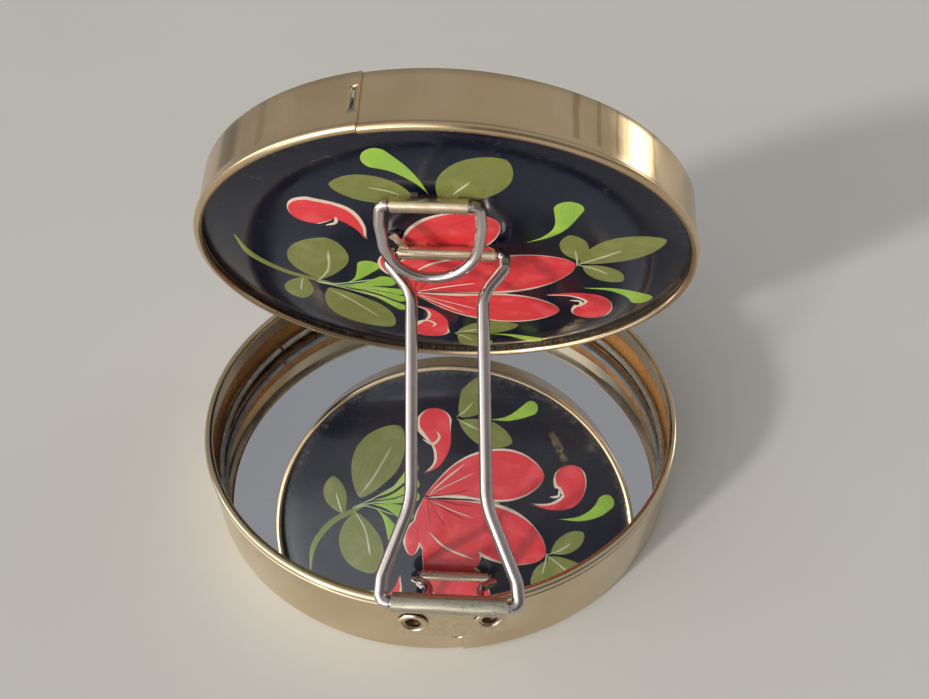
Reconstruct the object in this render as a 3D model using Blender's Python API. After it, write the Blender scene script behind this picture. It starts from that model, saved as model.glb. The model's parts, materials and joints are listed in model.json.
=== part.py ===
"""Folding double mirror with a painted lacquer panel: two round gold-tone cases, each holding a mirror,
joined by a wire bail that turns in a sleeve on the base and in a rolled tube on the lid, and a D-ring
hanger on the lid.

The base lies on its back plate with its mirror up. The lid stands behind it, leaning forward, with the
bail as its prop. +Z is up, X runs along the hinge axes and the hinge is on the -Y side. The origin is the
centre of the base's underside. Every value in the driving dimensions is in millimetres or degrees.
"""

import math

import bmesh
import bpy
from mathutils import Matrix, Vector

MM = 0.001

# ---------------------------------------------------------------- driving dimensions
SHEET = 0.4                 # rim strip
GAP = 0.3                   # between pieces that rest on each other

BASE_RADIUS = 42.0          # over the rolled lip
BASE_HEIGHT = 13.2
BASE_LIP = 0.7              # radius of the rolled lip
BASE_SEAM = 8.6             # degrees from the front, where the strip laps over itself
LAP_STEP = 0.3              # how far the outer end of the strip stands out
LAP_FADE = 70.0             # degrees over which it comes back in
BASE_MIRROR_TOP = 4.0

LID_RADIUS = 39.7           # over the bead round the painted panel
LID_DEPTH = 8.8
LID_BEAD = 0.65
LID_WALL_RADIUS = 39.35
LID_SEAM = 13.2             # degrees from the lid's top
LID_OFFSET_X = 1.3

HINGE_X = 4.55              # middle of the hinge leaf
HINGE_Y = -43.6             # axis of the bail's lower pins
HINGE_Z = 16.2
SLEEVE_RADIUS = 1.4
SLEEVE_BORE = 0.95
LEAF_WIDTH = 16.1
LEAF_BOTTOM = 6.0
LEAF_RADIUS = 42.5          # inner face, bent round the rim
EYELET_SPREAD = 5.45        # each side of the middle of the leaf
EYELET_Z = 9.9

BAIL_LENGTH = 51.4          # between its two axes
BAIL_ANGLE = 36.5           # above the table
BAIL_WIRE = 0.95            # wire radius
BAIL_HALF_GAP = 5.4         # legs, centre line
BAIL_TOP_X = 1.8            # middle of the bail at the lid

TUBE_RADIUS = 1.1
TUBE_BORE = 0.78
TUBE_HEIGHT = 0.9           # tube axes above the crest of the lid's bead
BAIL_TUBE_LENGTH = 14.7
BAIL_TUBE_UP = 8.8          # above the middle of the lid
HANGER_TUBE_LENGTH = 10.8
HANGER_TUBE_UP = 22.8
HANGER_X = 0.1
LID_LEAN = 27.4             # degrees that the lid leans forward from upright

RING_WIRE = 0.8
RING_LENGTH = 12.3          # from the hanger tube to the middle of the bow
RING_HALF_WIDTH = 7.1

ROUND_STEPS = 80            # columns round a rim
PIN_SIDES = 12


# ---------------------------------------------------------------- helpers
def clear_scene():
    for obj in list(bpy.data.objects):
        bpy.data.objects.remove(obj, do_unlink=True)


def material(name, colour, metallic, roughness):
    mat = bpy.data.materials.new(name)
    mat.use_nodes = True
    shader = mat.node_tree.nodes["Principled BSDF"]
    shader.inputs["Base Color"].default_value = (*colour, 1.0)
    shader.inputs["Metallic"].default_value = metallic
    shader.inputs["Roughness"].default_value = roughness
    return mat


def add_object(name, mesh, mat, parent=None):
    obj = bpy.data.objects.new(name, mesh)
    bpy.context.scene.collection.objects.link(obj)
    obj.data.materials.append(mat)
    obj.parent = parent
    return obj


def add_pivot(name, location, angle_x, parent=None):
    """An empty on a joint's axis, turned about X."""
    pivot = bpy.data.objects.new(name, None)
    bpy.context.scene.collection.objects.link(pivot)
    pivot.location = Vector(location) * MM
    pivot.rotation_euler = (math.radians(angle_x), 0.0, 0.0)
    pivot.parent = parent
    return pivot


def mesh_of(name, bm):
    bmesh.ops.recalc_face_normals(bm, faces=bm.faces)
    mesh = bpy.data.meshes.new(name)
    bm.to_mesh(mesh)
    bm.free()
    mesh.shade_smooth()
    mesh.set_sharp_from_angle(angle=math.radians(35))
    return mesh


def arc(centre, radius, start, end, steps):
    """Points on an arc in a plane, in degrees from its first axis."""
    angles = [math.radians(start + (end - start) * i / steps) for i in range(steps + 1)]
    return [(centre[0] + radius * math.cos(a), centre[1] + radius * math.sin(a)) for a in angles]


def even_columns(steps=ROUND_STEPS):
    return [(360.0 * i / steps, 0.0) for i in range(steps)]


def lapped_columns(seam):
    """Columns round a strip whose outer end stands out at the seam and comes back in over LAP_FADE."""
    columns = [(seam, LAP_STEP)]
    for i in range(1, ROUND_STEPS):
        turn = 360.0 * i / ROUND_STEPS
        columns.append((seam + turn, LAP_STEP * max(0.0, 1.0 - turn / LAP_FADE)))
    columns.append((seam + 359.9, 0.0))
    return columns


def turned(name, outline, columns=None, closed=True):
    """A solid turned about Z from a section of (radius, height) or (radius, height, share) points.

    A point moves out by its share of its column's offset. A point on the axis becomes one vertex.
    Columns are (degrees from +X, offset). With closed False the ends are capped, for a split ring.
    """
    columns = columns or even_columns()
    bm = bmesh.new()
    rings = []
    for point in outline:
        radius, height = point[:2]
        share = point[2] if len(point) > 2 else 0.0
        if radius == 0.0:
            rings.append([bm.verts.new((0.0, 0.0, height * MM))] * len(columns))
            continue
        ring = []
        for degrees, offset in columns:
            a = math.radians(degrees)
            r = (radius + share * offset) * MM
            ring.append(bm.verts.new((r * math.cos(a), r * math.sin(a), height * MM)))
        rings.append(ring)
    on_axis = outline[0][0] == 0.0
    pairs = list(zip(rings, rings[1:])) if on_axis else list(zip(rings, rings[1:] + rings[:1]))
    count = len(columns)
    for first, second in pairs:
        for i in range(count if closed else count - 1):
            j = (i + 1) % count
            corners = [first[i], first[j], second[j], second[i]]
            unique = list(dict.fromkeys(corners))
            bm.faces.new(unique)
    if not closed:
        bm.faces.new([ring[0] for ring in rings])
        bm.faces.new([ring[-1] for ring in rings])
    return mesh_of(name, bm)


def wire(name, points, mat, parent, sides=PIN_SIDES):
    """A round wire along points of (x, y, z, radius)."""
    curve = bpy.data.curves.new(name, "CURVE")
    curve.dimensions = "3D"
    curve.bevel_depth = MM
    curve.bevel_resolution = sides // 4 - 1
    curve.use_fill_caps = True
    spline = curve.splines.new("POLY")
    spline.points.add(len(points) - 1)
    for node, (x, y, z, radius) in zip(spline.points, points):
        node.co = (x * MM, y * MM, z * MM, 1.0)
        node.radius = radius
    return add_object(name, curve, mat, parent)


def rounded_route(corners, steps=4):
    """A route through corners of (x, y, bend radius), each bend an arc unless its radius is 0."""
    route = [Vector(corners[0][:2])]
    for before, corner, after in zip(corners, corners[1:], corners[2:]):
        here = Vector(corner[:2])
        if corner[2] == 0.0:
            route.append(here)
            continue
        back = (Vector(before[:2]) - here).normalized()
        ahead = (Vector(after[:2]) - here).normalized()
        half = back.angle(ahead) / 2
        reach = corner[2] / math.tan(half)
        centre = here + (back + ahead).normalized() * (corner[2] / math.sin(half))
        start = here + back * reach - centre
        turn = (here + ahead * reach - centre).angle_signed(start)
        for i in range(steps + 1):
            route.append(centre + Matrix.Rotation(turn * i / steps, 2) @ start)
    route.append(Vector(corners[-1][:2]))
    return route


def boolean(obj, cutter, operation):
    modifier = obj.modifiers.new(cutter.name, "BOOLEAN")
    modifier.operation = operation
    modifier.object = cutter
    cutter.hide_render = True
    cutter.display_type = "WIRE"


def box_mesh(name, low, high):
    bm = bmesh.new()
    bmesh.ops.create_cube(bm, size=1.0)
    size = [(h - l) * MM for l, h in zip(low, high)]
    centre = [(h + l) / 2 * MM for l, h in zip(low, high)]
    bmesh.ops.scale(bm, vec=size, verts=bm.verts)
    bmesh.ops.translate(bm, vec=centre, verts=bm.verts)
    return mesh_of(name, bm)


def extruded(name, outline, start, end):
    """A prism along X from start to end, with an outline of (y, z) points."""
    bm = bmesh.new()
    near = [bm.verts.new((start * MM, y * MM, z * MM)) for y, z in outline]
    face = bm.faces.new(near)
    made = bmesh.ops.extrude_face_region(bm, geom=[face])
    moved = [v for v in made["geom"] if isinstance(v, bmesh.types.BMVert)]
    bmesh.ops.translate(bm, vec=((end - start) * MM, 0.0, 0.0), verts=moved)
    return mesh_of(name, bm)


# ---------------------------------------------------------------- materials
GOLD = material("gold_tone_sheet", (0.62, 0.50, 0.33), 1.0, 0.28)
BRASS = material("brass", (0.72, 0.58, 0.30), 1.0, 0.30)
NICKEL = material("nickel_wire", (0.78, 0.76, 0.74), 1.0, 0.15)
STEEL = material("worn_steel", (0.48, 0.46, 0.43), 1.0, 0.38)
MIRROR = material("mirror_glass", (0.90, 0.91, 0.92), 1.0, 0.02)
CARD = material("grey_card", (0.40, 0.36, 0.30), 0.0, 0.9)
LACQUER = material("black_lacquer", (0.015, 0.016, 0.022), 0.0, 0.12)


# ---------------------------------------------------------------- base
def front(degrees):
    """Degrees from the front, towards +X, as degrees from +X."""
    return degrees - 90.0


def base_rim():
    bead_r = BASE_RADIUS - BASE_LIP
    wall_out = BASE_RADIUS - 0.1
    wall_in = wall_out - SHEET
    lip_z = BASE_HEIGHT - BASE_LIP
    bead = [(r, z, 1.0) for r, z in arc((bead_r, lip_z), BASE_LIP, -60, 230, 9)]
    corner = [(r, z, 1.0) for r, z in arc((wall_out - 0.8, 0.8), 0.8, 0, -80, 4)]
    outline = bead + [
        (wall_in, BASE_HEIGHT - 1.9),
        (wall_in, 0.9),
        (wall_in - 0.5, 0.3),
        (wall_in - 1.9, 0.3),
        (wall_in - 1.9, 0.0),
    ] + corner[::-1]
    rim = add_object("base_rim", turned("base_rim", outline, lapped_columns(front(BASE_SEAM))), GOLD)
    for side in (-1, 1):
        boolean(rim, eyelet_cutter(f"rim_hole_{side}", side), "DIFFERENCE")
    slot = box_mesh("base_slot", (-0.25, 1.5, -1.2), (0.25, -1.5, 1.2))
    cutter = add_object("base_slot", slot, GOLD)
    cutter.matrix_world = on_rim(BASE_SEAM - 1.1, 4.9, wall_in)
    boolean(rim, cutter, "DIFFERENCE")
    return rim


def on_rim(degrees, height, radius):
    """Local +Z points out of the wall and local +Y up it."""
    a = math.radians(front(degrees))
    out = Vector((math.cos(a), math.sin(a), 0.0))
    up = Vector((0.0, 0.0, 1.0))
    turn = Matrix((up.cross(out), up, out)).transposed().to_4x4()
    return Matrix.Translation((out * radius + up * height) * MM) @ turn


def eyelet_azimuth(side):
    return math.degrees(math.asin((HINGE_X + side * EYELET_SPREAD) / BASE_RADIUS))


def eyelet_cutter(name, side):
    outline = [(0.0, 3.0), (1.5, 3.0), (1.5, -3.0), (0.0, -3.0)]
    hole = add_object(name, turned(name, outline, even_columns(20)), BRASS)
    hole.matrix_world = on_rim(eyelet_azimuth(side), EYELET_Z, BASE_RADIUS)
    return hole


def eyelet(name, side):
    """A hollow rivet: a flared flange outside the leaf, a rolled one inside the rim."""
    inner, outer = -1.25, 1.15
    outline = [
        (0.80, outer - 0.25), (1.05, outer + 0.25), (1.55, outer + 0.45), (2.15, outer + 0.30),
        (2.30, outer + 0.02), (1.20, outer), (1.20, inner), (1.95, inner), (2.05, inner - 0.35),
        (1.50, inner - 0.50), (0.80, inner - 0.30),
    ]
    obj = add_object(name, turned(name, outline, even_columns(24)), BRASS)
    obj.matrix_world = on_rim(eyelet_azimuth(side), EYELET_Z, BASE_RADIUS)
    return obj


def base_floor():
    inside = BASE_RADIUS - 0.1 - SHEET - GAP
    lip = inside - 1.9
    plate = [
        (0.0, 0.4), (lip - 0.5, 0.4), (lip - 0.1, 1.0), (inside, 1.0),
        (inside, 0.6), (lip, 0.6), (lip - 0.1, 0.0), (0.0, 0.0),
    ]
    add_object("base_back_plate", turned("base_back_plate", plate), GOLD)
    card = [(0.0, 1.75), (inside, 1.75), (inside, 1.3), (0.0, 1.3)]
    add_object("base_backing_card", turned("base_backing_card", card), CARD)
    top = BASE_MIRROR_TOP
    glass = [(0.0, top), (inside - 0.35, top), (inside, top - 0.35), (inside, 2.05), (0.0, 2.05)]
    add_object("base_mirror", turned("base_mirror", glass), MIRROR)
    retaining_ring("base_retaining_ring", inside, top + GAP, 1, None, 150.0)


def retaining_ring(name, outer, face, up, parent, gap_at):
    """A split spring ring that holds the glass down; up is the way it stands from the glass."""
    outline = [
        (outer, face), (outer, face + up * 0.8), (outer - 0.35, face + up * 1.1),
        (outer - 0.75, face + up * 1.1), (outer - 1.1, face + up * 0.75), (outer - 1.1, face),
    ]
    open_columns = [(gap_at + 2.0 + 356.0 * i / ROUND_STEPS, 0.0) for i in range(ROUND_STEPS + 1)]
    return add_object(name, turned(name, outline, open_columns, closed=False), STEEL, parent)


def hinge_leaf():
    """Sheet bent round the rim, its top edge rolled forward into a straight sleeve along X."""
    half = LEAF_WIDTH / 2
    columns = 15
    neck_low, neck_high = EYELET_Z + 2.5, HINGE_Z
    mid_sleeve = (SLEEVE_RADIUS + SLEEVE_BORE) / 2
    thick = SLEEVE_RADIUS - SLEEVE_BORE

    def centre_line(x):
        """Middle of the sheet in (y, z), from the leaf's bottom edge to the end of the roll."""
        wall = -math.sqrt((LEAF_RADIUS + thick / 2) ** 2 - x ** 2)
        back = HINGE_Y + mid_sleeve
        line = [(wall, LEAF_BOTTOM), (wall, neck_low)]
        for i in range(1, 5):
            share = i / 5
            ease = share * share * (3 - 2 * share)
            line.append((wall + (back - wall) * ease, neck_low + (neck_high - neck_low) * share))
        return line + arc((HINGE_Y, HINGE_Z), mid_sleeve, 0, 318, 13)

    bm = bmesh.new()
    sections = []
    for column in range(columns):
        x = HINGE_X - half + LEAF_WIDTH * column / (columns - 1)
        line = [Vector(p) for p in centre_line(x)]
        left, right = [], []
        for i, here in enumerate(line):
            along = (line[min(i + 1, len(line) - 1)] - line[max(i - 1, 0)]).normalized()
            normal = Vector((-along.y, along.x)) * (thick / 2)
            left.append(here + normal)
            right.append(here - normal)
        loop = left + right[::-1]
        sections.append([bm.verts.new((x * MM, p.x * MM, p.y * MM)) for p in loop])
    for first, second in zip(sections, sections[1:]):
        for i in range(len(first)):
            j = (i + 1) % len(first)
            bm.faces.new([first[i], first[j], second[j], second[i]])
    count = len(sections[0]) // 2
    for section in (sections[0], sections[-1]):
        for i in range(count - 1):
            bm.faces.new([section[i], section[i + 1], section[-2 - i], section[-1 - i]])
    leaf = add_object("hinge_leaf", mesh_of("hinge_leaf", bm), STEEL)
    for side in (-1, 1):
        boolean(leaf, eyelet_cutter(f"leaf_hole_{side}", side), "DIFFERENCE")
    return leaf


# ---------------------------------------------------------------- bail
def bail_wire(pivot):
    """Both legs and the sleeve pin between them are one wire; its two ends meet inside the lid's tube."""
    lean = BAIL_TOP_X - HINGE_X
    sleeve_half = LEAF_WIDTH / 2
    tube_half = BAIL_TUBE_LENGTH / 2
    sleeve_pin, tube_pin = SLEEVE_BORE - 0.15, TUBE_BORE - 0.17
    sleeve_end, tube_end = sleeve_half + 0.4, tube_half + 0.3
    half = rounded_route([
        (0.0, 0.0, 0.0),
        (sleeve_end, 0.0, 0.0),
        (sleeve_end + 0.1, 0.0, 0.0),
        (sleeve_half + 1.8, 0.0, 1.1),
        (sleeve_half + 1.5, 3.4, 4.0),
        (BAIL_HALF_GAP, 14.0, 12.0),
        (BAIL_HALF_GAP, 45.0, 5.0),
        (tube_half + 1.4, BAIL_LENGTH - 2.2, 1.5),
        (tube_half + 1.4, BAIL_LENGTH, 0.9),
        (tube_end, BAIL_LENGTH, 0.0),
        (0.4, BAIL_LENGTH, 0.0),
    ])

    def radius(x, y):
        if y < 0.1 and x < sleeve_end + 0.01:
            return sleeve_pin
        if y > BAIL_LENGTH - 0.1 and x < tube_end + 0.01:
            return tube_pin
        return BAIL_WIRE

    route = [(-p.x, p.y) for p in reversed(half)] + [(p.x, p.y) for p in half[1:]]
    points = []
    for x, y in route:
        points.append((x + lean * y / BAIL_LENGTH, y, 0.0, radius(abs(x), y)))
    return wire("stand_bail", points, NICKEL, pivot)


# ---------------------------------------------------------------- lid
def place_on_lid(obj):
    """The lid's own frame has its origin at the middle of the bead's crest."""
    obj.location = Vector((LID_OFFSET_X - BAIL_TOP_X, -BAIL_TUBE_UP, -TUBE_HEIGHT)) * MM
    return obj


def lid_top(degrees):
    """Degrees from the lid's top, towards +X, as degrees from +X."""
    return 90.0 - degrees


def lid_shell(pivot):
    bead_r = LID_RADIUS - LID_BEAD
    wall_in = LID_WALL_RADIUS - SHEET
    bead = [(r, z, 1.0) for r, z in arc((bead_r, -LID_BEAD), LID_BEAD, -60, 215, 9)]
    outline = bead + [
        (wall_in, -2.1), (wall_in, 0.5 - LID_DEPTH), (wall_in - 0.2, 0.2 - LID_DEPTH),
        (wall_in + 0.1, -LID_DEPTH, 1.0), (LID_WALL_RADIUS - 0.1, -LID_DEPTH, 1.0),
        (LID_WALL_RADIUS, 0.3 - LID_DEPTH, 1.0),
    ]
    rim = add_object("lid_rim", turned("lid_rim", outline, lapped_columns(lid_top(-LID_SEAM))), GOLD, pivot)
    place_on_lid(rim)
    slot = add_object("lid_slot", box_mesh("lid_slot", (-1.0, -0.3, -1.6), (1.0, 0.3, 1.6)), GOLD, pivot)
    a = math.radians(lid_top(-LID_SEAM - 1.4))
    slot.location = rim.location + Vector((math.cos(a), math.sin(a), 0.0)) * LID_WALL_RADIUS * MM
    slot.location.z -= 5.0 * MM
    slot.rotation_euler = (0.0, 0.0, a)
    boolean(rim, slot, "DIFFERENCE")


def panel_section(inside):
    """Flat in the middle, turned down to a flange that the bead holds."""
    top = [(0.0, -0.55), (31.0, -0.55), (34.5, -0.66), (36.8, -0.95), (37.7, -1.4), (inside, -1.45)]
    under = [(radius, height - 0.45) for radius, height in reversed(top)]
    return top + under


def lid_layers(pivot):
    inside = LID_WALL_RADIUS - SHEET - GAP
    panel = add_object("painted_panel", turned("painted_panel", panel_section(inside)), LACQUER, pivot)
    place_on_lid(panel)
    for name, up, half, shift in TUBE_TABS:
        for side in (-1, 1):
            low, high = tab_box(up, side * half + shift, GAP)
            slot = add_object(f"{name}_slot_{side}", box_mesh(name, low, high), LACQUER, pivot)
            place_on_lid(slot)
            boolean(panel, slot, "DIFFERENCE")
    card = [(0.0, -2.5), (inside, -2.5), (inside, -2.95), (0.0, -2.95)]
    glass = [(0.0, -3.25), (inside, -3.25), (inside, -4.25), (inside - 0.35, -4.6), (0.0, -4.6)]
    place_on_lid(add_object("lid_backing_card", turned("lid_backing_card", card), CARD, pivot))
    place_on_lid(add_object("lid_mirror", turned("lid_mirror", glass), MIRROR, pivot))
    place_on_lid(retaining_ring("lid_retaining_ring", inside, -4.9, -1, pivot, 240.0))


TUBE_TABS = (
    ("bail_tube", BAIL_TUBE_UP, BAIL_TUBE_LENGTH / 2 - 3.0, BAIL_TOP_X - LID_OFFSET_X),
    ("hanger_tube", HANGER_TUBE_UP, HANGER_TUBE_LENGTH / 2 - 2.6, HANGER_X - LID_OFFSET_X),
)


def tab_box(up, x, room):
    """A clinch tab through the panel, as low and high corners in the lid's frame."""
    top = TUBE_HEIGHT - TUBE_BORE - 0.06
    return (x - 1.2 - room, up - 0.35 - room, -1.7 - room), (x + 1.2 + room, up + 0.35 + room, top + room)


def rolled_tube(name, length, x, up, half, pivot):
    """A tube rolled from sheet, with two tabs that go down through the panel's slots."""
    ring = arc((up, TUBE_HEIGHT), TUBE_RADIUS, -80, 260, 18)
    bore = arc((up, TUBE_HEIGHT), TUBE_BORE, 257, -77, 18)
    shift = x - LID_OFFSET_X
    mesh = extruded(name, ring + bore, shift - length / 2, shift + length / 2)
    tube = place_on_lid(add_object(name, mesh, BRASS, pivot))
    for side in (-1, 1):
        low, high = tab_box(up, side * half + shift, 0.0)
        tab = place_on_lid(add_object(f"{name}_tab_{side}", box_mesh(name, low, high), BRASS, pivot))
        boolean(tube, tab, "UNION")
    return tube


# ---------------------------------------------------------------- D-ring
def d_ring(pivot):
    """Bent wire whose two ends turn in towards each other inside the hanger tube."""
    tube_half = HANGER_TUBE_LENGTH / 2
    pin = TUBE_BORE - 0.17
    pin_end = tube_half + 0.3
    half = rounded_route([
        (0.4, 0.0, 0.0),
        (pin_end, 0.0, 0.0),
        (pin_end + 0.1, 0.0, 0.0),
        (tube_half + 1.5, 0.0, 1.0),
        (RING_HALF_WIDTH + 0.1, -3.2, 2.0),
        (RING_HALF_WIDTH - 0.2, -6.0, 2.0),
    ])[:-1]
    bow = RING_HALF_WIDTH - 0.2
    for i in range(13):
        a = math.radians(90.0 * i / 12)
        half.append(Vector((bow * math.cos(a), -5.8 - (RING_LENGTH - 5.8) * math.sin(a))))
    points = []
    for p in half:
        points.append((p.x, p.y, 0.0, pin if p.x < pin_end + 0.01 and p.y > -0.1 else RING_WIRE))
    points += [(-x, y, z, radius) for x, y, z, radius in reversed(points[:-1])]
    return wire("d_ring", points, NICKEL, pivot)


# ---------------------------------------------------------------- assembly
def build():
    clear_scene()
    base_rim()
    base_floor()
    hinge_leaf()
    eyelet("eyelet_left", -1)
    eyelet("eyelet_right", 1)

    bail_pivot = add_pivot("bail_pivot", (HINGE_X, HINGE_Y, HINGE_Z), BAIL_ANGLE)
    bail_wire(bail_pivot)

    lid_angle = 90.0 + LID_LEAN
    lean = BAIL_TOP_X - HINGE_X
    lid_pivot = add_pivot("lid_pivot", (lean, BAIL_LENGTH, 0.0), lid_angle - BAIL_ANGLE, bail_pivot)
    lid_shell(lid_pivot)
    lid_layers(lid_pivot)
    rolled_tube("bail_tube", BAIL_TUBE_LENGTH, BAIL_TOP_X, *TUBE_TABS[0][1:3], lid_pivot)
    rolled_tube("hanger_tube", HANGER_TUBE_LENGTH, HANGER_X, *TUBE_TABS[1][1:3], lid_pivot)

    ring_at = (HANGER_X - BAIL_TOP_X, HANGER_TUBE_UP - BAIL_TUBE_UP, 0.0)
    d_ring(add_pivot("ring_pivot", ring_at, 90.0 - lid_angle, lid_pivot))
    bpy.context.view_layer.update()


build()
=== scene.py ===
"""Looks for the folding mirror: finer metal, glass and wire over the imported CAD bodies, and a painted panel.

Lengths in this file are in millimetres, turned into metres by MM where a mesh or an object is made. The
base's pieces are made in the row frame. The lid's are made in the lid's own frame: X along its tubes, Y up
its face, Z out of its face, with the origin in the middle of its bead's crest. The lights' places and
sizes are in metres.
"""

import json
import math
import random

import bmesh
import bpy
from mathutils import Matrix, Vector, noise


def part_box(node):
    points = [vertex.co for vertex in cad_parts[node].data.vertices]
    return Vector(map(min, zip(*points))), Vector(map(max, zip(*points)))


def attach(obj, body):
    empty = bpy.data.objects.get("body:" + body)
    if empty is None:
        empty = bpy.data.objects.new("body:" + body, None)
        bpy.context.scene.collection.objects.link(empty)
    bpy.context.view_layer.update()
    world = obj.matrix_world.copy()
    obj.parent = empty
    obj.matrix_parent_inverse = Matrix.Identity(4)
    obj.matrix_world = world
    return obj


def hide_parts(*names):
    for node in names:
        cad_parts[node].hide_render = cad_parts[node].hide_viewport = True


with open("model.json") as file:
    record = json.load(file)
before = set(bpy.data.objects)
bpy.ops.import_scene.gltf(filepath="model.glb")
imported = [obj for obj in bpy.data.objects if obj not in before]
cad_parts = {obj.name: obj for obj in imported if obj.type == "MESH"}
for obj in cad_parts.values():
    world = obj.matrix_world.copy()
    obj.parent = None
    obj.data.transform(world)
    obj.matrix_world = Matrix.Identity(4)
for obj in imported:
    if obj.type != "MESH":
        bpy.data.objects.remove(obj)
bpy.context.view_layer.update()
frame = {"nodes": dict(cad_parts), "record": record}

MM = 0.001
JOINTS = {joint["name"]: joint for joint in frame["record"]["behaviour"]["joints"]}

# ---------------------------------------------------------------- sizes, in millimetres
BASE_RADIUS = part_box("base_rim")[1].x / MM
BASE_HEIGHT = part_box("base_rim")[1].z / MM
BASE_LIP = 0.7
SHEET = 0.4
BASE_SEAM = 8.6             # degrees from the front
LAP_STEP = 0.3              # how far a strip's outer end stands out
LAP_FADE = 70.0             # degrees over which that dies away
SILVER_Z = 2.8              # where the glass seems to mirror, below its own top
GLASS_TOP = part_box("base_mirror")[1].z / MM
GLASS_BOTTOM = 2.05
SPRING_WIRE = 0.55          # radius
RING_GAP = 1.0              # degrees between a spring ring's ends
BASE_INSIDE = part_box("base_mirror")[1].x / MM

BAIL_AXIS = Vector(JOINTS["bail_hinge"]["pos_m"]) / MM
LID_AXIS = Vector(JOINTS["lid_hinge"]["pos_m"]) / MM
RING_AXIS = Vector(JOINTS["hanger_hinge"]["pos_m"]) / MM
LEAF_WIDTH = (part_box("hinge_leaf")[1].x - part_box("hinge_leaf")[0].x) / MM
LEAF_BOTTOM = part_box("hinge_leaf")[0].z / MM
LEAF_RADIUS = 42.5
SLEEVE_RADIUS = 1.4
SLEEVE_BORE = 0.95
EYELET_SPREAD = 5.45
EYELET_Z = 9.9
EYELET_HOLE = 1.5           # radius of the hole through the wall and the leaf

LID_RADIUS = 39.7
LID_WALL_RADIUS = 39.35
LID_DEPTH = 8.8
LID_BEAD = 0.65
LID_SEAM = 13.2             # degrees from the lid's top, towards -X
LID_CENTRE_X = 1.3
TUBE_RADIUS = 1.1
TUBE_BORE = 0.78
TUBE_HEIGHT = 0.9           # tube axes above the crest
SLEEVE_PLAY = 0.15          # between a wire and the bore it turns in
TUBE_PLAY = 0.17
BAIL_TUBE_UP = 8.8
BAIL_TUBE_LENGTH = (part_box("bail_tube")[1].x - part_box("bail_tube")[0].x) / MM
HANGER_TUBE_LENGTH = (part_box("hanger_tube")[1].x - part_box("hanger_tube")[0].x) / MM
PANEL_TOP = -0.55
PANEL_FLAT = 31.0           # radius of the panel's flat middle
PANEL_RUN = 6.7             # from there to where its face has fallen by PANEL_FALL
PANEL_FALL = 0.85

BAIL_WIRE = 0.95
BAIL_HALF_GAP = 5.4
RING_WIRE = 0.8
RING_LENGTH = 12.3
RING_HALF_WIDTH = 6.9

FLOOR_Z = 0.0
FINE = 288                  # columns round a rim

ACROSS = Vector((1.0, 0.0, 0.0))
UPRIGHT = Vector((0.0, 0.0, 1.0))


def frame_at(origin, *axes):
    """A frame with the given X, Y and Z axes and its origin in millimetres."""
    return Matrix.Translation(Vector(origin) * MM) @ Matrix(axes).transposed().to_4x4()


UP_THE_LID = Vector((0.0, *(RING_AXIS - LID_AXIS).yz)).normalized()
OUT_OF_LID = ACROSS.cross(UP_THE_LID)
LID_CENTRE = LID_AXIS - UP_THE_LID * BAIL_TUBE_UP - OUT_OF_LID * TUBE_HEIGHT
LID_CENTRE.x = LID_CENTRE_X
LID_FRAME = frame_at(LID_CENTRE, ACROSS, UP_THE_LID, OUT_OF_LID)


# ---------------------------------------------------------------- materials
def linear(colour):
    """An sRGB colour of 0..255 as the shader's linear colour."""
    return tuple(((v / 255 + 0.055) / 1.055) ** 2.4 if v > 10 else v / 255 / 12.92 for v in colour)


class Nodes:
    """Shorthand for the nodes of one tree."""

    def __init__(self, tree):
        self.tree = tree

    def node(self, kind, **settings):
        made = self.tree.nodes.new(kind)
        for name, value in settings.items():
            setattr(made, name, value)
        return made

    def feed(self, socket, value):
        if isinstance(value, bpy.types.NodeSocket):
            self.tree.links.new(value, socket)
        else:
            socket.default_value = value

    def stretched(self, vector, x, y, z):
        scaled = self.node("ShaderNodeVectorMath", operation="MULTIPLY")
        self.feed(scaled.inputs[0], vector)
        scaled.inputs[1].default_value = (x, y, z)
        return scaled.outputs[0]

    def split(self, vector):
        parts = self.node("ShaderNodeSeparateXYZ")
        self.feed(parts.inputs[0], vector)
        return parts.outputs

    def radius(self, vector):
        """Distance from the Z axis."""
        across = self.node("ShaderNodeVectorMath", operation="LENGTH")
        self.feed(across.inputs[0], self.stretched(vector, 1.0, 1.0, 0.0))
        return across.outputs["Value"]

    def math(self, operation, a, b=0.0):
        made = self.node("ShaderNodeMath", operation=operation)
        self.feed(made.inputs[0], a)
        self.feed(made.inputs[1], b)
        return made.outputs[0]

    def plus(self, a, b):
        return self.math("ADD", a, b)

    def minus(self, a, b):
        return self.math("SUBTRACT", a, b)

    def times(self, a, b):
        return self.math("MULTIPLY", a, b)

    def between(self, value, low, high, to_low=0.0, to_high=1.0):
        """Value carried from low..high to to_low..to_high, held at both ends."""
        made = self.node("ShaderNodeMapRange", interpolation_type="SMOOTHSTEP")
        self.feed(made.inputs["Value"], value)
        for name, number in zip(("From Min", "From Max", "To Min", "To Max"), (low, high, to_low, to_high)):
            made.inputs[name].default_value = number
        return made.outputs["Result"]

    def mix(self, factor, a, b, kind="MIX"):
        """Two colours mixed. A tuple is linear red, green and blue."""
        made = self.node("ShaderNodeMix", data_type="RGBA", blend_type=kind)
        self.feed(made.inputs["Factor"], factor)
        for name, value in (("A", a), ("B", b)):
            self.feed(made.inputs[name], (*value, 1.0) if isinstance(value, tuple) else value)
        return made.outputs["Result"]


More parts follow.
